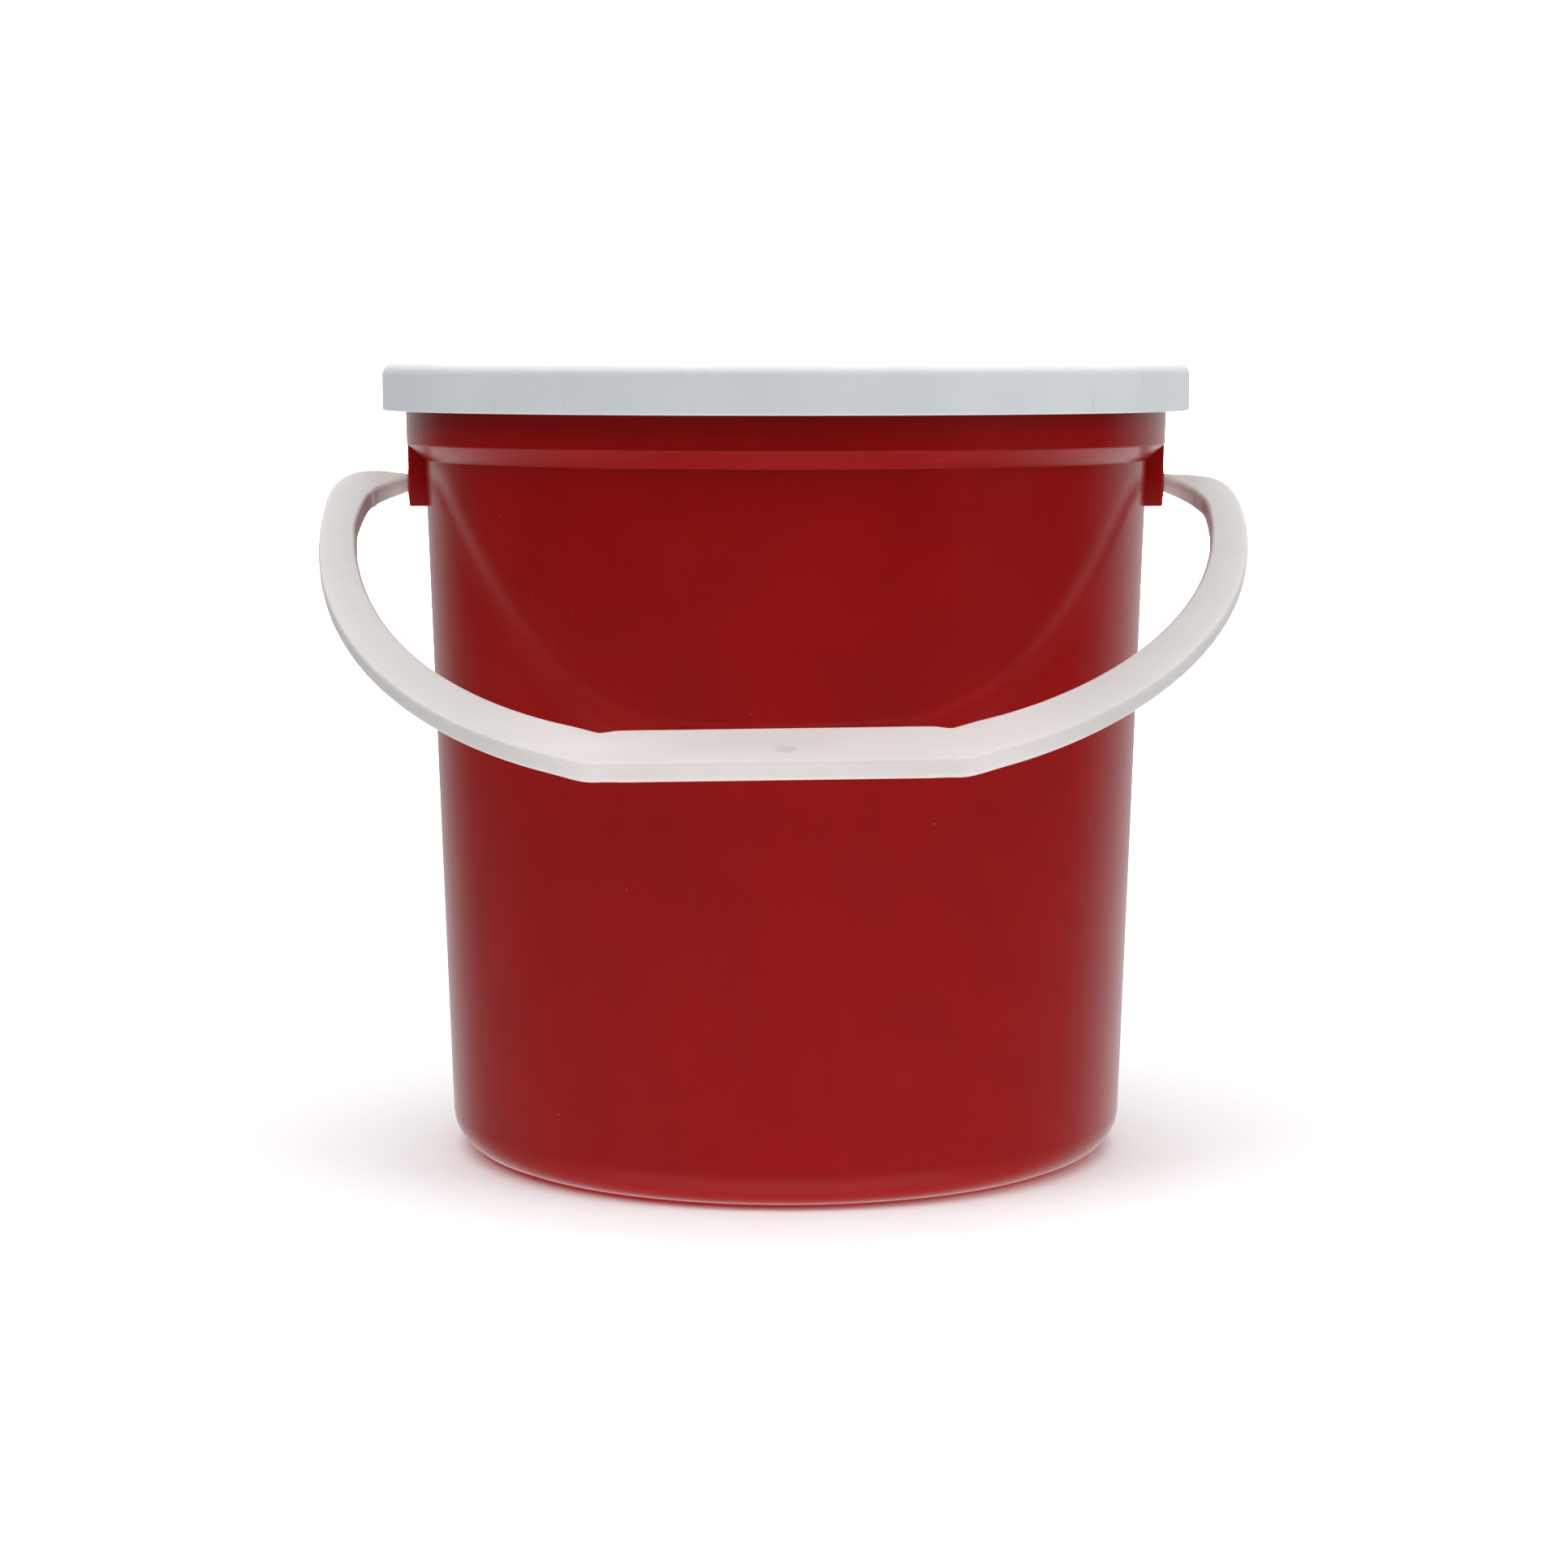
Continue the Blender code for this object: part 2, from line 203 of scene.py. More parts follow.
# Its set: one ear sags and is slimmer, the other lifts, and the grip hangs aslant to -X
EAR_SAG = 1.5
EAR_SLIMMING = 0.05
ARM_SHIFT = 0.6
LEAN_SHIFT = 1.8
LEAN_SLOPE = 0.0227

# Studio, in metres
FLOOR_HALF_WIDE = 9.0
FLOOR_FRONT = -12.0
FLOOR_BACK = 2.6
FLOOR_RISE = 3.0
FLOOR_BEND = 1.2
FLOOR_BEND_STEPS = 16
FLOOR_GAP = 0.0002
# The surroundings' light: everywhere, and where each glow starts, where it's full, how strong
AMBIENT = 0.06
BEHIND = (0.13, 1.0, 0.0)
GLOW_BEHIND = (0.38, 1.1, 0.62)
GLOW_BELOW = (-0.10, -0.22, 0.22)
GLOW_ABOVE = (0.25, 0.8, 0.8)
# Soft boxes: name, place, aim, width, height, watts, spread in degrees
SOFT_BOXES = (
    ("top_box", (0.0, 0.0, 1.3), (0, 0, 0), 1.5, 1.5, 14.4, 180),
    ("left_box", (-1.0, -0.6, 1.1), (0, 0, 0.10), 0.8, 0.8, 7.2, 180),
    ("right_box", (1.0, -0.6, 1.1), (0, 0, 0.10), 0.8, 0.8, 2.8, 180),
    ("low_right_box", (1.1, -0.5, 0.5), (0, 0, 0.10), 0.8, 0.8, 4.6, 180),
    ("bounce_box", (0.0, -0.32, -0.45), (0, -0.05, 0.10), 1.2, 0.4, 6.2, 180),
    ("sweep_box", (0.0, 0.9, 2.2), (0, 2.4, 0.5), 3.2, 1.0, 110, 100),
)
CAMERA_PLACE = (-0.0005, -0.9767, 0.2125)
CAMERA_DOWN = 6.70
CAMERA_LENS = 82.8


# ---------------------------------------------------------------- meshes

def fillet_path(corners):
    """Points of a profile whose corners (radius, height, rounding), in mm, become arcs."""
    points = []
    for index, (r, z, rounding) in enumerate(corners):
        corner = Vector((r, z))
        if rounding == 0:
            points.append(corner)
            continue
        back = (Vector(corners[index - 1][:2]) - corner).normalized()
        ahead = (Vector(corners[index + 1][:2]) - corner).normalized()
        half = back.angle(ahead) / 2
        centre = corner + (back + ahead).normalized() * rounding / math.sin(half)
        start = corner + back * rounding / math.tan(half) - centre
        end = corner + ahead * rounding / math.tan(half) - centre
        sweep = -start.angle_signed(end)
        for step in range(ARC_STEPS + 1):
            turn = sweep * step / ARC_STEPS
            points.append(centre + Vector((
                start.x * math.cos(turn) - start.y * math.sin(turn),
                start.x * math.sin(turn) + start.y * math.cos(turn),
            )))
    return points


def new_object(name, verts, faces, material, sharp=40):
    """A smooth-shaded object, in metres, with weighted normals."""
    mesh = bpy.data.meshes.new(name)
    mesh.from_pydata([tuple(v) for v in verts], [], faces)
    mesh.validate()
    mesh.materials.append(material)
    mesh.shade_smooth()
    mesh.set_sharp_from_angle(angle=math.radians(sharp))
    item = bpy.data.objects.new(name, mesh)
    bpy.context.collection.objects.link(item)
    normals = item.modifiers.new("weighted_normals", "WEIGHTED_NORMAL")
    normals.keep_sharp = True
    return item


def revolve(name, profile, material):
    """Turn a profile that starts and ends on the axis, in mm, once round +Z."""
    verts = []
    rings = []
    for point in profile:
        if point.x < 1e-6:
            rings.append([len(verts)])
            verts.append(Vector((0, 0, point.y)) * MM)
            continue
        ring = []
        for step in range(ROUND_SEGMENTS):
            turn = math.tau * step / ROUND_SEGMENTS
            ring.append(len(verts))
            verts.append(Vector((
                point.x * math.cos(turn), point.x * math.sin(turn), point.y)) * MM)
        rings.append(ring)
    faces = []
    for lower, upper in zip(rings, rings[1:]):
        for step in range(ROUND_SEGMENTS):
            after = (step + 1) % ROUND_SEGMENTS
            if len(lower) == 1:
                faces.append((lower[0], upper[step], upper[after]))
            elif len(upper) == 1:
                faces.append((lower[after], lower[step], upper[0]))
            else:
                faces.append((lower[after], lower[step], upper[step], upper[after]))
    return new_object(name, verts, faces, material)


# ---------------------------------------------------------------- materials

class Nodes:
    """Short hand for building a material's nodes."""

    def __init__(self, name):
        self.material = bpy.data.materials.new(name)
        self.material.use_nodes = True
        self.tree = self.material.node_tree
        self.shader = self.tree.nodes["Principled BSDF"]
        self.place = self.add("ShaderNodeTexCoord").outputs["Object"]

    def add(self, kind, **settings):
        node = self.tree.nodes.new(kind)
        for key, value in settings.items():
            setattr(node, key, value)
        return node

    def link(self, output, socket):
        self.tree.links.new(output, socket)

    def set(self, **values):
        for key, value in values.items():
            self.shader.inputs[key.replace("_", " ")].default_value = value

    def mapped(self, scale=(1, 1, 1), turn=(0, 0, 0)):
        node = self.add("ShaderNodeMapping")
        node.inputs["Scale"].default_value = scale
        node.inputs["Rotation"].default_value = [math.radians(a) for a in turn]
        self.link(self.place, node.inputs["Vector"])
        return node.outputs["Vector"]

    def noise(self, scale, detail=2, rough=0.5, place=None):
        node = self.add("ShaderNodeTexNoise")
        node.inputs["Scale"].default_value = scale
        node.inputs["Detail"].default_value = detail
        node.inputs["Roughness"].default_value = rough
        self.link(place or self.place, node.inputs["Vector"])
        return node.outputs["Fac"]

    def remap(self, value, low, high, to_low, to_high):
        """Ease a value from one range into another."""
        node = self.add("ShaderNodeMapRange")
        node.interpolation_type = "SMOOTHSTEP"
        for key, number in (("From Min", low), ("From Max", high),
                            ("To Min", to_low), ("To Max", to_high)):
            node.inputs[key].default_value = number
        self.link(value, node.inputs["Value"])
        return node.outputs["Result"]

    def math(self, operation, first, second=None):
        node = self.add("ShaderNodeMath", operation=operation)
        for socket, value in zip(node.inputs, (first, second)):
            if value is None:
                continue
            if isinstance(value, (int, float)):
                socket.default_value = value
            else:
                self.link(value, socket)
        return node.outputs[0]

    def mix(self, share, first, second):
        node = self.add("ShaderNodeMix", data_type="RGBA")
        self.link(share, node.inputs[0])
        for socket, value in ((node.inputs[6], first), (node.inputs[7], second)):
            if isinstance(value, tuple):
                socket.default_value = (*value, 1)
            else:
                self.link(value, socket)
        return node.outputs[2]

    def bump(self, height, distance, under=None):
        node = self.add("ShaderNodeBump")
        node.inputs["Distance"].default_value = distance
        node.inputs["Strength"].default_value = 1.0
        self.link(height, node.inputs["Height"])
        if under is not None:
            self.link(under, node.inputs["Normal"])
        return node.outputs["Normal"]

    def around(self):
        """Place on a round piece's skin: distance round the axis, and height."""
        split = self.add("ShaderNodeSeparateXYZ")
        self.link(self.place, split.inputs[0])
        turn = self.math("ARCTAN2", split.outputs["Y"], split.outputs["X"])
        joined = self.add("ShaderNodeCombineXYZ")
        self.link(self.math("MULTIPLY", turn, SKIN_R), joined.inputs["X"])
        self.link(split.outputs["Z"], joined.inputs["Y"])
        return joined.outputs[0]

    def strokes(self, place, turn, length, width, least=0.70, seed=0.0):
        """Sparse tapered strokes along one direction, sizes in metres: 1 on a stroke."""
        node = self.add("ShaderNodeMapping", vector_type="TEXTURE")
        node.inputs["Location"].default_value = (seed, seed * 0.7, 0)
        node.inputs["Rotation"].default_value = (0, 0, math.radians(turn))
        node.inputs["Scale"].default_value = (length, width, length)
        self.link(place, node.inputs["Vector"])
        lines = self.noise(1.0, detail=1, rough=0.35, place=node.outputs["Vector"])
        return self.remap(lines, least, least + 0.07, 0.0, 1.0)

    def specks(self, scale, size):
        """Sparse dust specks: 1 on a speck."""
        node = self.add("ShaderNodeTexVoronoi")
        node.inputs["Scale"].default_value = scale
        self.link(self.place, node.inputs["Vector"])
        near = self.remap(node.outputs["Distance"], 0.0, size, 1.0, 0.0)
        chosen = self.noise(scale * 0.37, detail=0)
        return self.math("MULTIPLY", near, self.remap(chosen, 0.62, 0.68, 0.0, 1.0))


def red_plastic():
    """Glossy injection-moulded polypropylene, lightly used."""
    n = Nodes("red_plastic")
    n.set(IOR=1.5, Specular_IOR_Level=0.5)
    skin = n.around()
    marks = n.math("MAXIMUM", n.strokes(skin, 28, 0.0080, 0.00032, 0.80),
                   n.strokes(skin, -52, 0.0060, 0.00028, 0.81, seed=3.1))
    rubs = n.math("MAXIMUM", n.strokes(skin, 86, 0.030, 0.0004, 0.64, seed=5.3),
                  n.strokes(skin, 3, 0.024, 0.0004, 0.66, seed=7.7))
    specks = n.specks(150, 0.05)
    mottle = n.noise(55, detail=3)
    colour = n.mix(n.remap(mottle, 0.3, 0.7, 0.0, 1.0), RED_DEEP, RED_PALE)
    colour = n.mix(n.math("MULTIPLY", marks, 0.30), colour, RED_SCRATCH)
    colour = n.mix(n.math("MULTIPLY", rubs, 0.025), colour, RED_RUB)
    colour = n.mix(n.math("MULTIPLY", specks, 0.45), colour, RED_SPECK)
    n.link(colour, n.shader.inputs["Base Color"])
    rough = n.remap(n.noise(20, detail=4, rough=0.6), 0.3, 0.7, 0.18, 0.23)
    rough = n.math("ADD", rough, n.math("MULTIPLY", rubs, 0.01))
    n.link(n.math("ADD", rough, n.math("MULTIPLY", marks, 0.25)),
           n.shader.inputs["Roughness"])
    rings = n.noise(1.0, detail=2, place=n.mapped(scale=(14, 14, 1500)))
    normal = n.bump(n.noise(9, detail=1), 0.0007)
    normal = n.bump(rings, 0.000003, under=normal)
    normal = n.bump(n.noise(1400, detail=2), 0.000003, under=normal)
    normal = n.bump(marks, -0.00002, under=normal)
    n.link(normal, n.shader.inputs["Normal"])
    return n.material


def white_plastic():
    """Satin white polyethylene of the lid."""
    n = Nodes("white_plastic")
    n.set(IOR=1.51, Specular_IOR_Level=0.45, Subsurface_Weight=0.12,
          Subsurface_Radius=(0.0022, 0.0020, 0.0018), Subsurface_Scale=1.0)
    mottle = n.noise(45, detail=3)
    colour = n.mix(n.remap(mottle, 0.3, 0.7, 0.0, 1.0), WHITE_DEEP, WHITE_PALE)
    skin = n.mapped()
    marks = n.math("MAXIMUM", n.strokes(skin, 35, 0.0110, 0.0003, 0.72),
                   n.strokes(skin, -48, 0.0085, 0.0003, 0.73, seed=2.3))
    specks = n.specks(140, 0.05)
    colour = n.mix(n.math("MULTIPLY", marks, 0.22), colour, WHITE_SCRATCH)
    colour = n.mix(n.math("MULTIPLY", specks, 0.35), colour, WHITE_SPECK)
    n.link(colour, n.shader.inputs["Base Color"])
    rough = n.remap(n.noise(30, detail=4, rough=0.6), 0.3, 0.7, 0.34, 0.44)
    n.link(n.math("ADD", rough, n.math("MULTIPLY", marks, 0.2)),
           n.shader.inputs["Roughness"])
    normal = n.bump(n.noise(14, detail=1), 0.0006)
    normal = n.bump(n.noise(2600, detail=3), 0.000007, under=normal)
    normal = n.bump(marks, -0.00002, under=normal)
    n.link(normal, n.shader.inputs["Normal"])
    return n.material


def milky_plastic():
    """Unpigmented polypropylene with a gate mark on the grip; the thin arms are greyed and the pin
    stubs lightened in colour, as painted shade and painted light.
    """
    n = Nodes("milky_plastic")
    n.set(IOR=1.49, Specular_IOR_Level=0.5, Subsurface_Weight=0.6,
          Subsurface_Radius=(0.0050, 0.0043, 0.0039), Subsurface_Scale=1.0)
    flow = n.noise(1.0, detail=3, place=n.mapped(scale=(25, 90, 90)))
    colour = n.mix(n.remap(flow, 0.3, 0.7, 0.0, 1.0), MILKY_DEEP, MILKY_PALE)
    offset = n.add("ShaderNodeVectorMath", operation="SUBTRACT")
    n.link(n.place, offset.inputs[0])
    offset.inputs[1].default_value = PIVOT + (DOWN * GATE_DROP + UP * GRIP_HALF_THICK) * MM
    split = n.add("ShaderNodeSeparateXYZ")
    n.link(n.place, split.inputs[0])
    outwards = n.math("ABSOLUTE", split.outputs["X"])
    hang = n.add("ShaderNodeVectorMath", operation="DOT_PRODUCT")
    n.link(offset.outputs[0], hang.inputs[0])
    hang.inputs[1].default_value = DOWN
    # Painted shade: the arms are greyed in colour outward from the grip, standing in for less
    # light on them
    colour = n.mix(n.remap(outwards, 0.050, 0.080, 0.0, 0.8), colour, MILKY_ARM_PAINTED_SHADE)
    # Painted light: the stubs by the pins are lightened in colour, where the lid and collar shade
    # them
    painted_stub_light = n.math("MULTIPLY", n.remap(outwards, 0.103, 0.110, 0.9, 0.0),
                  n.remap(hang.outputs["Value"], -0.112, -0.104, 1.0, 0.0))
    colour = n.mix(painted_stub_light, colour, MILKY_STUB_PAINTED_LIGHT)
    squared = None
    for axis, half in ((ACROSS, 0.0028), (DOWN, 0.0013), (UP, 0.003)):
        along = n.add("ShaderNodeVectorMath", operation="DOT_PRODUCT")
        n.link(offset.outputs[0], along.inputs[0])
        along.inputs[1].default_value = axis / half
        term = n.math("MULTIPLY", along.outputs["Value"], along.outputs["Value"])
        squared = term if squared is None else n.math("ADD", squared, term)
    mark = n.remap(squared, 0.6, 1.25, 1.0, 0.0)
    colour = n.mix(n.math("MULTIPLY", mark, 0.40), colour, MILKY_GATE)
    skin = n.mapped(turn=(32, 0, 0))
    scuffs = n.math("MAXIMUM", n.strokes(skin, 12, 0.0090, 0.0003, 0.71),
                    n.strokes(skin, -35, 0.0060, 0.0003, 0.73, seed=4.1))
    colour = n.mix(n.math("MULTIPLY", scuffs, 0.25), colour, MILKY_SCUFF)
    n.link(colour, n.shader.inputs["Base Color"])
    rough = n.remap(n.noise(40, detail=4, rough=0.6), 0.3, 0.7, 0.30, 0.42)
    n.link(n.math("ADD", rough, n.math("MULTIPLY", scuffs, 0.2)),
           n.shader.inputs["Roughness"])
    normal = n.bump(n.noise(26, detail=1), 0.0004)
    normal = n.bump(n.noise(1800, detail=2), 0.000007, under=normal)
    normal = n.bump(mark, -0.00008, under=normal)
    normal = n.bump(scuffs, -0.00002, under=normal)
    n.link(normal, n.shader.inputs["Normal"])
    return n.material


# ---------------------------------------------------------------- the pail

def bucket_profile():
    """Underside, wall, shoulder, collar and rolled rim, then the inside."""
    rim = RIM_TOP / MM
    lip = LIP_R / MM
    return fillet_path([
        (0, INJECTION_Z, 0),
        (INJECTION_R, INJECTION_Z, 0.2),
        (INJECTION_EDGE_R, FOOT_RECESS, 0.2),
        (FOOT_SLOPE_R, FOOT_RECESS, 0.35),
        (FOOT_R, 0, 0.35),
        (BASE_R, 0, BASE_CORNER),
        (WALL_TOP_R, WALL_TOP_Z, 0.35),
        (COLLAR_LOW_R, COLLAR_LOW_Z, 0.6),
        (COLLAR_R, rim - LIP_WALL, 0.4),
        (lip - LIP_WALL, rim - LIP_WALL, 0.4),
        (lip - LIP_WALL, LIP_LOW_Z, 0.4),
        (lip, LIP_LOW_Z, 0.5),
        (lip, rim, 1.0),
        (MOUTH_R, rim, 0.7),
        (INNER_COLLAR_R, INNER_COLLAR_Z, 0.8),
        (INNER_TOP_R, INNER_TOP_Z, 0.8),
        (INNER_BASE_R, FLOOR_Z, INNER_CORNER),
        (PAD_R + PAD_SLOPE, FLOOR_Z, 0.3),
        (PAD_R, PAD_Z, 0.3),
        (0, PAD_Z, 0),
    ])


def prism(name, outline, half_y, material):
    """A prism from an X-Z outline in mm, centred on Y = 0."""
    count = len(outline)
    verts = [Vector((x, y, z)) * MM for y in (-half_y, half_y) for x, z in outline]
    faces = [tuple(range(count)), tuple(range(2 * count - 1, count - 1, -1))]
    for step in range(count):
        after = (step + 1) % count
        faces.append((after, step, step + count, after + count))
    return new_object(name, verts, faces, material)


def rod(name, profile, material):
    """A round piece on the pivot's axis, from (x, radius) points in mm."""
    verts = []
    for x, radius in profile:
        for step in range(ROD_SIDES):
            turn = math.tau * step / ROD_SIDES
            verts.append(Vector((
                x * MM, radius * MM * math.cos(turn), PIVOT_Z + radius * MM * math.sin(turn))))
    faces = []
    for row in range(len(profile) - 1):
        for step in range(ROD_SIDES):
            after = (step + 1) % ROD_SIDES
            low = row * ROD_SIDES
            high = low + ROD_SIDES
            faces.append((low + step, low + after, high + after, high + step))
    faces.append(tuple(range(ROD_SIDES - 1, -1, -1)))
    last = (len(profile) - 1) * ROD_SIDES
    faces.append(tuple(range(last, last + ROD_SIDES)))
    return new_object(name, verts, faces, material)


def settle(item, tools):
    """Apply an object's modifiers, then take away the tools that shaped it."""
    graph = bpy.context.evaluated_depsgraph_get()
    data = bpy.data.meshes.new_from_object(item.evaluated_get(graph))
    item.modifiers.clear()
    old = item.data
    item.data = data
    bpy.data.meshes.remove(old)
    for tool in tools:
        bpy.data.objects.remove(tool, do_unlink=True)


def build_lug(side, material):
    """One lug under the collar, with its boss, pin hole and pocket."""
    block = prism("lug_" + side, [
        (LUG_INNER_X, LUG_LOW_Z), (LUG_OUTER_X, LUG_LOW_Z),
        (LUG_TOP_X, LUG_TOP_Z), (LUG_INNER_X, LUG_INNER_TOP_Z),
    ], LUG_HALF_WIDE, material)
    block.modifiers.clear()
    boss = rod("boss_tool", [
        (BOSS_INNER_X, BOSS_R), (BOSS_OUTER_X - BOSS_BEVEL, BOSS_R),
        (BOSS_OUTER_X, BOSS_R - BOSS_BEVEL),
    ], material)
    pocket = prism("pocket_tool", [
        (POCKET_INNER_X, POCKET_LOW_Z), (POCKET_OUTER_X, POCKET_LOW_Z),
        (POCKET_OUTER_X, POCKET_TOP_Z), (POCKET_INNER_X, POCKET_TOP_Z),
    ], POCKET_HALF_WIDE, material)
    hole = rod("hole_tool", [(HOLE_INNER_X, HOLE_R), (HOLE_OUTER_X, HOLE_R)], material)
    bevel = block.modifiers.new("rounding", "BEVEL")
    bevel.width = LUG_ROUNDING * MM
    bevel.segments = 4
    bevel.limit_method = "ANGLE"
    tools = []
    for tool, operation in ((boss, "UNION"), (pocket, "DIFFERENCE"), (hole, "DIFFERENCE")):
        tool.modifiers.clear()
        step = block.modifiers.new(operation.lower(), "BOOLEAN")
        step.operation = operation
        step.object = tool
        tools.append(tool)
    edge = block.modifiers.new("edge_rounding", "BEVEL")
    edge.width = EDGE_ROUNDING * MM
    edge.segments = 2
    edge.limit_method = "ANGLE"
    edge.angle_limit = math.radians(60)
    settle(block, tools)
    block.data.shade_smooth()
    block.data.set_sharp_from_angle(angle=math.radians(35))
    if side == "left":
        block.data.transform(Matrix.Rotation(math.pi, 4, "Z"))
    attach(block, "bucket")


def build_bucket(material):
    """The red moulding."""
    shell = revolve("bucket_shell", bucket_profile(), material)
    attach(shell, "bucket")
    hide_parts("bucket_body")
    for side in ("right", "left"):
        build_lug(side, material)


# ---------------------------------------------------------------- the lid

def lid_profile():
    """Top from the axis outwards, down the skirt, then back underneath."""
    outside = LID_R / MM
    inside = outside - LID_WALL
    top = LID_TOP / MM
    low = LID_LOW.z / MM
    panel = top - LID_RECESS
    return fillet_path([
        (0, panel - LID_STEP, 0),
        (LID_GATE_R, panel - LID_STEP, 0.2),
        (LID_GATE_R + LID_STEP, panel, 0.2),
        (LID_STEP_R, panel, 0.3),
        (LID_STEP_R + LID_STEP_SLOPE, panel + LID_STEP, 0.3),
        (LID_BAND_R, panel + LID_STEP, 0.4),
        (LID_BAND_R + LID_BAND_SLOPE, panel, 0.4),
        (CHANNEL_R, panel, 0.9),
        (RIDGE_R, top, 1.0),
        (outside, top, LID_CORNER),
        (outside, low, 0.7),
        (inside, low, 0.3),
        (inside, BEAD_Z - BEAD_HALF, 0.3),
        (BEAD_R, BEAD_Z, 0.4),
        (inside, BEAD_Z + BEAD_HALF, 0.3),
        (inside, top - LID_WALL, 0.8),
        (LID_INNER_R, top - LID_WALL, 0.5),
        (LID_UNDER_R, panel - LID_WALL, 1.0),
        (0, panel - LID_WALL, 0),
    ])


def build_lid(material):
    """The white moulding."""
    lid = revolve("lid_shell", lid_profile(), material)
    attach(lid, "lid")
    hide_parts("lid")


# ---------------------------------------------------------------- the bail

def leaning(x, drop, *section):
    """A section moved by the bail's set, which grows from the pins to the grip."""
    loose = min(drop / ARM_CENTRE[1], 1)
    share = min(max((drop - ARM_CENTRE[1]) / (GRIP_DROP - ARM_CENTRE[1]), 0), 1)
    share = share ** 2 * (3 - 2 * share)
    shift = ARM_SHIFT * loose + LEAN_SHIFT * share
    return (x - shift, drop - LEAN_SLOPE * share * x, *section)


def round_station(x, radius):
    """A round section on the pivot's axis."""
    return (x, 0, radius, radius, radius, radius)


def curve_through(knots):
    """Stations on a smooth curve through the knots, without the first and the last."""
    stations = []
    for index in range(1, len(knots) - 2):
        near = knots[index - 1:index + 3]
        for step in range(CURVE_STEPS):
            t = step / CURVE_STEPS
            weights = (
                (-t + 2 * t ** 2 - t ** 3) / 2,
                (2 - 5 * t ** 2 + 3 * t ** 3) / 2,
                (t + 4 * t ** 2 - 3 * t ** 3) / 2,
                (t ** 3 - t ** 2) / 2,
            )
            stations.append(tuple(
                sum(w * knot[item] for w, knot in zip(weights, near))
                for item in range(len(near[0]))))
    return stations


def bail_stations(sag):
    """Half of the bail, from the retaining head to the middle of the grip.

    A station is: across, drop, half width, half thickness, edge rounding, wall edge rounding.
    """
    head = [
        round_station(x, radius)
        for x, radius in (
            (97.6, HEAD_CHAMFER_R), (98.0, HEAD_R), (98.5, HEAD_R), (98.9, PIN_R), (99.1, PIN_R))
    ]
    end_angle = math.asin((GRIP_DROP - ARM_CENTRE[1]) / ARM_RADIUS)
    arm = []
    for step in range(ARM_STEPS):
        share = step / ARM_STEPS
        angle = end_angle * share
        arm.append((
            ARM_CENTRE[0] + ARM_RADIUS * math.cos(angle),
            ARM_CENTRE[1] + ARM_RADIUS * math.sin(angle),
            ARM_HALF_WIDE + ARM_WIDENING * share,
            ARM_HALF_THICK + ARM_THICKENING * share,
            ARM_EDGE - ARM_SHARPENING * share,
            WALL_EDGE,
        ))
    reach = arm[0][0] - PIN_END
    ear = [
        (x, drop + sag * (x - PIN_END) / reach, wide * (1 - EAR_SLIMMING * sag), *section)
        for x, drop, wide, *section in EAR_KNOTS
    ]
    grip = [
        (x, drop, wide, GRIP_HALF_THICK, GRIP_EDGE, WALL_EDGE)
        for x, drop, wide in (
            *DIP_KNOTS, *((x, GRIP_DROP, GRIP_HALF_WIDE) for x in GRIP_KNOTS))
    ]
    pin = [head[-1], round_station(PIN_NECK, PIN_R), round_station(PIN_END, PIN_R)]
    knots = [*pin, *ear, *arm, *grip]
    middle = knots[-2]
    return [*head, *curve_through(knots), middle]


def bail_section(wide, thick, edge, wall_edge):
    """A rounded outline: + across is the inner side, - through it the wall's side."""
    points = []
    for sign_u, sign_v, radius, first in (
            (1, 1, edge, 0), (-1, 1, edge, 90), (-1, -1, edge * UNDER_EDGE, 180),
            (1, -1, wall_edge, 270)):
        radius = min(radius, wide, thick)
        for step in range(ARC_STEPS + 1):
            turn = math.radians(first + 90 * step / ARC_STEPS)
            u = sign_u * (wide - radius) + radius * math.cos(turn)
            v = sign_v * (thick - radius) + radius * math.sin(turn)
            points.append((u, v))
    return points


def build_bail(material):
    """The milky moulding, drawn in its own plane and swung to where it rests."""
    right = bail_stations(EAR_SAG)
    left = [(-k[0], *k[1:]) for k in bail_stations(-EAR_SAG)[:-1]]
    stations = [leaning(*k) for k in right + left[::-1]]
    verts = []
    for index, (x, drop, *section) in enumerate(stations):
        before = stations[max(index - 1, 0)]
        after = stations[min(index + 1, len(stations) - 1)]
        along = Vector((after[0] - before[0], after[1] - before[1])).normalized()
        across = Vector((along.y, -along.x))
        for u, v in bail_section(*section):
            point = ACROSS * (x + across.x * u) + DOWN * (drop + across.y * u) + UP * v
            verts.append(PIVOT + point * MM)
    size = len(verts) // len(stations)
    faces = []
    for row in range(len(stations) - 1):
        for step in range(size):
            after = (step + 1) % size
            low, high = row * size, (row + 1) * size
            faces.append((low + after, low + step, high + step, high + after))
    faces.append(tuple(range(size)))
    last = (len(stations) - 1) * size
    faces.append(tuple(range(last + size - 1, last - 1, -1)))
    bail = new_object("bail", verts, faces, material, sharp=50)
    # The real bail is translucent and barely shades the wall behind it
    bail.visible_shadow = False
    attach(bail, "handle")
    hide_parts("handle")


# ---------------------------------------------------------------- studio

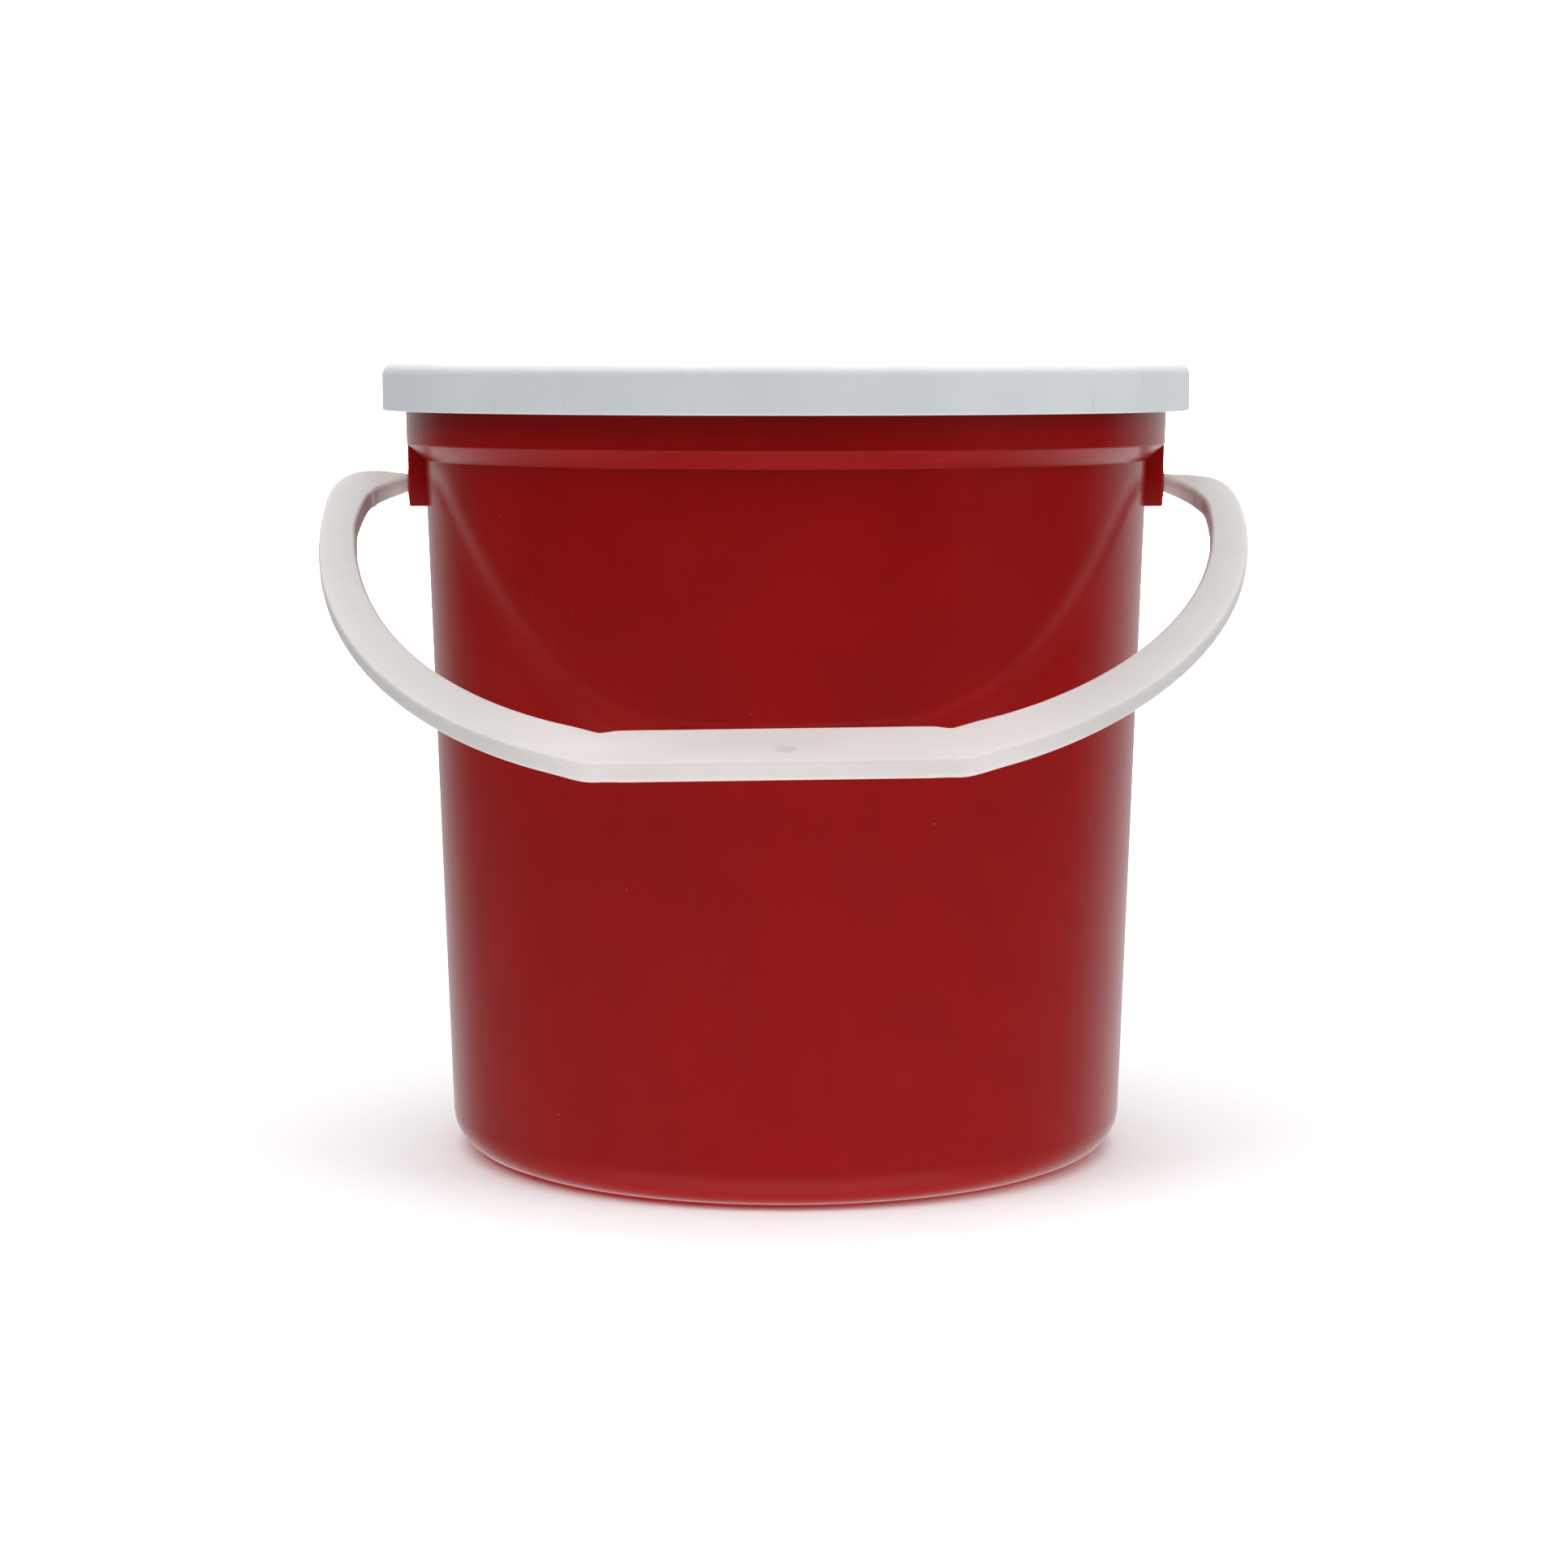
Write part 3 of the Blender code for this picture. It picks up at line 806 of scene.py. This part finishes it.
def build_floor():
    """A pale sweep: level floor that curves up well behind the object."""
    bend_start = FLOOR_BACK - FLOOR_BEND
    line = [(FLOOR_FRONT, 0.0), (bend_start, 0.0)]
    for step in range(1, FLOOR_BEND_STEPS + 1):
        turn = math.pi / 2 * step / FLOOR_BEND_STEPS
        line.append((
            bend_start + FLOOR_BEND * math.sin(turn), FLOOR_BEND - FLOOR_BEND * math.cos(turn)))
    line.append((FLOOR_BACK, FLOOR_RISE))
    verts = [
        Vector((x, y, z - FLOOR_GAP))
        for y, z in line
        for x in (-FLOOR_HALF_WIDE, FLOOR_HALF_WIDE)
    ]
    faces = [(2 * i, 2 * i + 1, 2 * i + 3, 2 * i + 2) for i in range(len(line) - 1)]
    n = Nodes("floor_paper")
    n.set(Specular_IOR_Level=0.2)
    n.link(n.mix(n.noise(3, detail=3), FLOOR_DEEP, FLOOR_PALE), n.shader.inputs["Base Color"])
    n.link(n.remap(n.noise(40, detail=2), 0.3, 0.7, 0.75, 0.85),
           n.shader.inputs["Roughness"])
    floor = new_object("floor", verts, faces, n.material)
    # The floor neither mirrors in the plastic nor stops the bounce box's light from below
    floor.visible_glossy = False
    floor.visible_diffuse = False
    floor.visible_shadow = False


def soft_light(name, place, aim, width, height, power, spread):
    """A rectangular soft box, kept out of sight and out of the reflections."""
    data = bpy.data.lights.new(name, "AREA")
    data.shape = "RECTANGLE"
    data.size = width
    data.size_y = height
    data.energy = power
    data.spread = math.radians(spread)
    item = bpy.data.objects.new(name, data)
    bpy.context.collection.objects.link(item)
    item.location = place
    item.rotation_mode = "QUATERNION"
    item.rotation_quaternion = (Vector(aim) - Vector(place)).to_track_quat("-Z", "Y")
    item.visible_glossy = False
    item.visible_camera = False


def world_strength(tree):
    """How bright the surroundings are: more so behind, below and above than in front."""
    place = tree.nodes.new("ShaderNodeTexCoord")
    split = tree.nodes.new("ShaderNodeSeparateXYZ")
    tree.links.new(place.outputs["Generated"], split.inputs[0])
    behind = tree.nodes.new("ShaderNodeVectorMath")
    behind.operation = "DOT_PRODUCT"
    tree.links.new(place.outputs["Generated"], behind.inputs[0])
    behind.inputs[1].default_value = BEHIND
    height = split.outputs["Z"]
    light = None
    for value, start, full, strength in (
            (behind.outputs["Value"], *GLOW_BEHIND), (height, *GLOW_BELOW), (height, *GLOW_ABOVE)):
        ramp = tree.nodes.new("ShaderNodeMapRange")
        ramp.interpolation_type = "SMOOTHSTEP"
        for key, number in (("From Min", start), ("From Max", full),
                            ("To Min", 0.0), ("To Max", strength)):
            ramp.inputs[key].default_value = number
        tree.links.new(value, ramp.inputs["Value"])
        total = tree.nodes.new("ShaderNodeMath")
        total.operation = "ADD"
        total.inputs[1].default_value = AMBIENT
        tree.links.new(ramp.outputs["Result"], total.inputs[0])
        if light is not None:
            tree.links.new(light, total.inputs[1])
        light = total.outputs[0]
    return light


def build_studio():
    """A pale floor, pale surroundings and the soft boxes."""
    build_floor()
    world = bpy.data.worlds.new("studio")
    bpy.context.scene.world = world
    world.use_nodes = True
    background = world.node_tree.nodes["Background"]
    background.inputs["Color"].default_value = (1, 1, 1, 1)
    strength = world_strength(world.node_tree)
    world.node_tree.links.new(strength, background.inputs["Strength"])
    for box in SOFT_BOXES:
        soft_light(*box)


def build_camera():
    """From in front, level with the lid and looking slightly down."""
    data = bpy.data.cameras.new("camera")
    data.sensor_width = 36
    data.lens = CAMERA_LENS
    data.clip_start = 0.05
    data.clip_end = 50
    camera = bpy.data.objects.new("camera", data)
    bpy.context.collection.objects.link(camera)
    camera.location = CAMERA_PLACE
    camera.rotation_euler = (math.radians(90 - CAMERA_DOWN), 0, 0)
    bpy.context.scene.camera = camera


def main():
    scene = bpy.context.scene
    scene.view_settings.view_transform = "Standard"
    scene.view_settings.look = "None"
    build_camera()
    build_studio()
    build_bucket(red_plastic())
    build_lid(white_plastic())
    build_bail(milky_plastic())


main()
